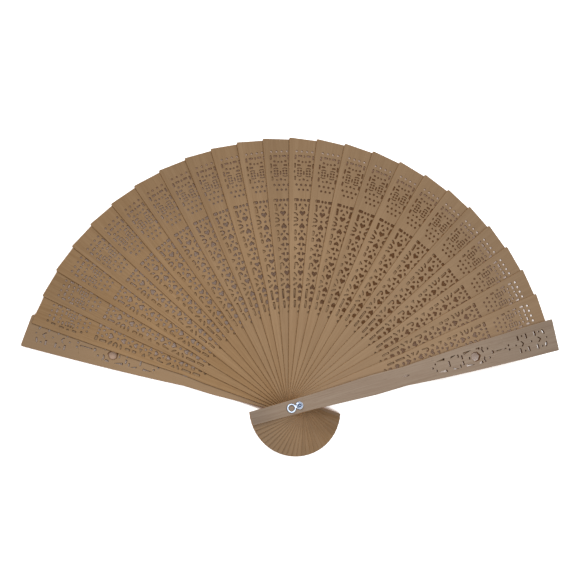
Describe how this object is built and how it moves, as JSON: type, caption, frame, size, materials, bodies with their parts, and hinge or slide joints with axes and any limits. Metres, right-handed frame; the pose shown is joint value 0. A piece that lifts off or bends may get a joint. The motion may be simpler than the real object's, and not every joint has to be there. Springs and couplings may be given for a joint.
{
  "type": "hand fan",
  "caption": "Pierced wooden folding fan whose sticks turn on one rivet between two stout guards, with a metal cord link at the pivot.",
  "frame": {"origin": "on the pivot axis, in the plane of the rear guard's underside, at the centre of the rivet's flush head", "axes": "+Z along the pivot, from the rear guard to the front guard; +Y along the middle of the open fan, from the pivot to the tips; +X to the right as the front is seen"},
  "size_m": [0.3426, 0.205, 0.0287],
  "materials": {
    "leaf_wood": "waxed, fine open grain",
    "guard_wood": "waxed, slightly smoother than the leaves",
    "bright_metal": "polished",
    "ribbon": "fine woven satin"
  },
  "bodies": {
    "rear_guard": {"rear_guard": "guard_wood", "pivot_rivet": "bright_metal", "rear_washer": "bright_metal"},
    "leaf_01": {"leaf_01": "leaf_wood", "ribbon_01": "ribbon"},
    "leaf_02": {"leaf_02": "leaf_wood", "ribbon_02": "ribbon"},
    "leaf_03": {"leaf_03": "leaf_wood", "ribbon_03": "ribbon"},
    "leaf_04": {"leaf_04": "leaf_wood", "ribbon_04": "ribbon"},
    "leaf_05": {"leaf_05": "leaf_wood", "ribbon_05": "ribbon"},
    "leaf_06": {"leaf_06": "leaf_wood", "ribbon_06": "ribbon"},
    "leaf_07": {"leaf_07": "leaf_wood", "ribbon_07": "ribbon"},
    "leaf_08": {"leaf_08": "leaf_wood", "ribbon_08": "ribbon"},
    "leaf_09": {"leaf_09": "leaf_wood", "ribbon_09": "ribbon"},
    "leaf_10": {"leaf_10": "leaf_wood", "ribbon_10": "ribbon"},
    "leaf_11": {"leaf_11": "leaf_wood", "ribbon_11": "ribbon"},
    "leaf_12": {"leaf_12": "leaf_wood", "ribbon_12": "ribbon"},
    "leaf_13": {"leaf_13": "leaf_wood", "ribbon_13": "ribbon"},
    "leaf_14": {"leaf_14": "leaf_wood", "ribbon_14": "ribbon"},
    "leaf_15": {"leaf_15": "leaf_wood", "ribbon_15": "ribbon"},
    "leaf_16": {"leaf_16": "leaf_wood", "ribbon_16": "ribbon"},
    "leaf_17": {"leaf_17": "leaf_wood", "ribbon_17": "ribbon"},
    "leaf_18": {"leaf_18": "leaf_wood", "ribbon_18": "ribbon"},
    "leaf_19": {"leaf_19": "leaf_wood", "ribbon_19": "ribbon"},
    "leaf_20": {"leaf_20": "leaf_wood", "ribbon_20": "ribbon"},
    "leaf_21": {"leaf_21": "leaf_wood", "ribbon_21": "ribbon"},
    "leaf_22": {"leaf_22": "leaf_wood", "ribbon_22": "ribbon"},
    "leaf_23": {"leaf_23": "leaf_wood", "ribbon_23": "ribbon"},
    "leaf_24": {"leaf_24": "leaf_wood", "ribbon_24": "ribbon"},
    "front_guard": {"front_guard": "guard_wood", "ribbon_front": "ribbon"},
    "tassel_link": {"tassel_link": "bright_metal"}
  },
  "joints": [
    {"name": "fan_fold", "type": "hinge", "parent": "rear_guard", "child": "front_guard", "pos_m": [0, 0, 0.02535], "axis": [0, 0, 1], "range_deg": [0, 148.9]},
    {"name": "leaf_01_fold", "type": "hinge", "parent": "rear_guard", "child": "leaf_01", "pos_m": [0, 0, 0.0029], "axis": [0, 0, 1], "range_deg": [0, 5.08]},
    {"name": "leaf_02_fold", "type": "hinge", "parent": "rear_guard", "child": "leaf_02", "pos_m": [0, 0, 0.0038], "axis": [0, 0, 1], "range_deg": [0, 11.1]},
    {"name": "leaf_03_fold", "type": "hinge", "parent": "rear_guard", "child": "leaf_03", "pos_m": [0, 0, 0.0047], "axis": [0, 0, 1], "range_deg": [0, 17.07]},
    {"name": "leaf_04_fold", "type": "hinge", "parent": "rear_guard", "child": "leaf_04", "pos_m": [0, 0, 0.0056], "axis": [0, 0, 1], "range_deg": [0, 23.02]},
    {"name": "leaf_05_fold", "type": "hinge", "parent": "rear_guard", "child": "leaf_05", "pos_m": [0, 0, 0.0065], "axis": [0, 0, 1], "range_deg": [0, 28.99]},
    {"name": "leaf_06_fold", "type": "hinge", "parent": "rear_guard", "child": "leaf_06", "pos_m": [0, 0, 0.0074], "axis": [0, 0, 1], "range_deg": [0, 35.06]},
    {"name": "leaf_07_fold", "type": "hinge", "parent": "rear_guard", "child": "leaf_07", "pos_m": [0, 0, 0.0083], "axis": [0, 0, 1], "range_deg": [0, 41.23]},
    {"name": "leaf_08_fold", "type": "hinge", "parent": "rear_guard", "child": "leaf_08", "pos_m": [0, 0, 0.0092], "axis": [0, 0, 1], "range_deg": [0, 47.4]},
    {"name": "leaf_09_fold", "type": "hinge", "parent": "rear_guard", "child": "leaf_09", "pos_m": [0, 0, 0.0101], "axis": [0, 0, 1], "range_deg": [0, 53.49]},
    {"name": "leaf_10_fold", "type": "hinge", "parent": "rear_guard", "child": "leaf_10", "pos_m": [0, 0, 0.011], "axis": [0, 0, 1], "range_deg": [0, 59.39]},
    {"name": "leaf_11_fold", "type": "hinge", "parent": "rear_guard", "child": "leaf_11", "pos_m": [0, 0, 0.0119], "axis": [0, 0, 1], "range_deg": [0, 65.12]},
    {"name": "leaf_12_fold", "type": "hinge", "parent": "rear_guard", "child": "leaf_12", "pos_m": [0, 0, 0.0128], "axis": [0, 0, 1], "range_deg": [0, 70.78]},
    {"name": "leaf_13_fold", "type": "hinge", "parent": "rear_guard", "child": "leaf_13", "pos_m": [0, 0, 0.0137], "axis": [0, 0, 1], "range_deg": [0, 76.53]},
    {"name": "leaf_14_fold", "type": "hinge", "parent": "rear_guard", "child": "leaf_14", "pos_m": [0, 0, 0.0146], "axis": [0, 0, 1], "range_deg": [0, 82.48]},
    {"name": "leaf_15_fold", "type": "hinge", "parent": "rear_guard", "child": "leaf_15", "pos_m": [0, 0, 0.0155], "axis": [0, 0, 1], "range_deg": [0, 88.63]},
    {"name": "leaf_16_fold", "type": "hinge", "parent": "rear_guard", "child": "leaf_16", "pos_m": [0, 0, 0.0164], "axis": [0, 0, 1], "range_deg": [0, 94.89]},
    {"name": "leaf_17_fold", "type": "hinge", "parent": "rear_guard", "child": "leaf_17", "pos_m": [0, 0, 0.0173], "axis": [0, 0, 1], "range_deg": [0, 101.13]},
    {"name": "leaf_18_fold", "type": "hinge", "parent": "rear_guard", "child": "leaf_18", "pos_m": [0, 0, 0.0182], "axis": [0, 0, 1], "range_deg": [0, 107.24]},
    {"name": "leaf_19_fold", "type": "hinge", "parent": "rear_guard", "child": "leaf_19", "pos_m": [0, 0, 0.0191], "axis": [0, 0, 1], "range_deg": [0, 113.19]},
    {"name": "leaf_20_fold", "type": "hinge", "parent": "rear_guard", "child": "leaf_20", "pos_m": [0, 0, 0.02], "axis": [0, 0, 1], "range_deg": [0, 119.06]},
    {"name": "leaf_21_fold", "type": "hinge", "parent": "rear_guard", "child": "leaf_21", "pos_m": [0, 0, 0.0209], "axis": [0, 0, 1], "range_deg": [0, 124.92]},
    {"name": "leaf_22_fold", "type": "hinge", "parent": "rear_guard", "child": "leaf_22", "pos_m": [0, 0, 0.0218], "axis": [0, 0, 1], "range_deg": [0, 130.84]},
    {"name": "leaf_23_fold", "type": "hinge", "parent": "rear_guard", "child": "leaf_23", "pos_m": [0, 0, 0.0227], "axis": [0, 0, 1], "range_deg": [0, 136.8]},
    {"name": "leaf_24_fold", "type": "hinge", "parent": "rear_guard", "child": "leaf_24", "pos_m": [0, 0, 0.0236], "axis": [0, 0, 1], "range_deg": [0, 142.74]},
    {"name": "link_swing", "type": "hinge", "parent": "front_guard", "child": "tassel_link", "pos_m": [0, 0, 0.0272], "axis": [0, 0, 1], "continuous": true}
  ],
  "couplings": [
    {"joint": "leaf_01_fold", "follows": "fan_fold", "ratio": 0.033787},
    {"joint": "leaf_02_fold", "follows": "fan_fold", "ratio": 0.074181},
    {"joint": "leaf_03_fold", "follows": "fan_fold", "ratio": 0.11431},
    {"joint": "leaf_04_fold", "follows": "fan_fold", "ratio": 0.15424},
    {"joint": "leaf_05_fold", "follows": "fan_fold", "ratio": 0.19439},
    {"joint": "leaf_06_fold", "follows": "fan_fold", "ratio": 0.23515},
    {"joint": "leaf_07_fold", "follows": "fan_fold", "ratio": 0.27653},
    {"joint": "leaf_08_fold", "follows": "fan_fold", "ratio": 0.31803},
    {"joint": "leaf_09_fold", "follows": "fan_fold", "ratio": 0.35887},
    {"joint": "leaf_10_fold", "follows": "fan_fold", "ratio": 0.39851},
    {"joint": "leaf_11_fold", "follows": "fan_fold", "ratio": 0.437},
    {"joint": "leaf_12_fold", "follows": "fan_fold", "ratio": 0.47505},
    {"joint": "leaf_13_fold", "follows": "fan_fold", "ratio": 0.51366},
    {"joint": "leaf_14_fold", "follows": "fan_fold", "ratio": 0.55358},
    {"joint": "leaf_15_fold", "follows": "fan_fold", "ratio": 0.59488},
    {"joint": "leaf_16_fold", "follows": "fan_fold", "ratio": 0.63695},
    {"joint": "leaf_17_fold", "follows": "fan_fold", "ratio": 0.67886},
    {"joint": "leaf_18_fold", "follows": "fan_fold", "ratio": 0.71987},
    {"joint": "leaf_19_fold", "follows": "fan_fold", "ratio": 0.75987},
    {"joint": "leaf_20_fold", "follows": "fan_fold", "ratio": 0.79925},
    {"joint": "leaf_21_fold", "follows": "fan_fold", "ratio": 0.83863},
    {"joint": "leaf_22_fold", "follows": "fan_fold", "ratio": 0.87838},
    {"joint": "leaf_23_fold", "follows": "fan_fold", "ratio": 0.91841},
    {"joint": "leaf_24_fold", "follows": "fan_fold", "ratio": 0.95832}
  ]
}
